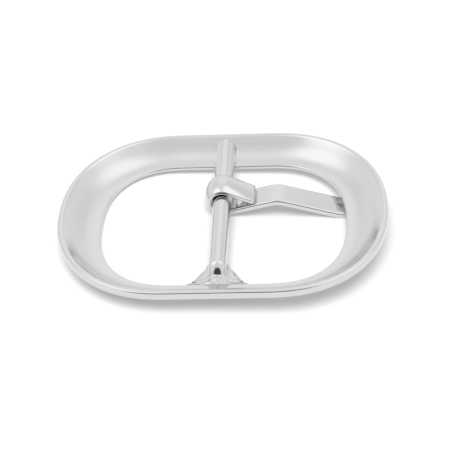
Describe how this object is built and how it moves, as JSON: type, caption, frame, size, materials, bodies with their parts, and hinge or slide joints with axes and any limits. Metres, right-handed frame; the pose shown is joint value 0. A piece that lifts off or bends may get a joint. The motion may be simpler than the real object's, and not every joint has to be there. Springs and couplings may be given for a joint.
{
  "type": "belt buckle",
  "caption": "Oval dished belt buckle in polished nickel plate, with a flared strap bar across the frame and a rolled prong hinged on it, for a dress belt.",
  "frame": {"origin": "below the middle of the oval frame, level with the lowest face of the prong's tip", "axes": "+X along the buckle to the end where the prong rests, +Y along the strap bar away from its flared foot, +Z to the back of the buckle, which faces the wearer"},
  "size_m": [0.055, 0.0436, 0.0068],
  "materials": {
    "plated_frame": "polished nickel plate",
    "plated_prong": "polished nickel plate on steel strip"
  },
  "bodies": {
    "frame": {"frame_ring": "plated_frame", "strap_bar": "plated_frame"},
    "prong": {"prong": "plated_prong"}
  },
  "joints": [
    {"name": "prong_swing", "type": "hinge", "parent": "frame", "child": "prong", "pos_m": [-0.0003, 0.006, 0.00375], "axis": [0, 1, 0], "range_deg": [0, 160]}
  ]
}
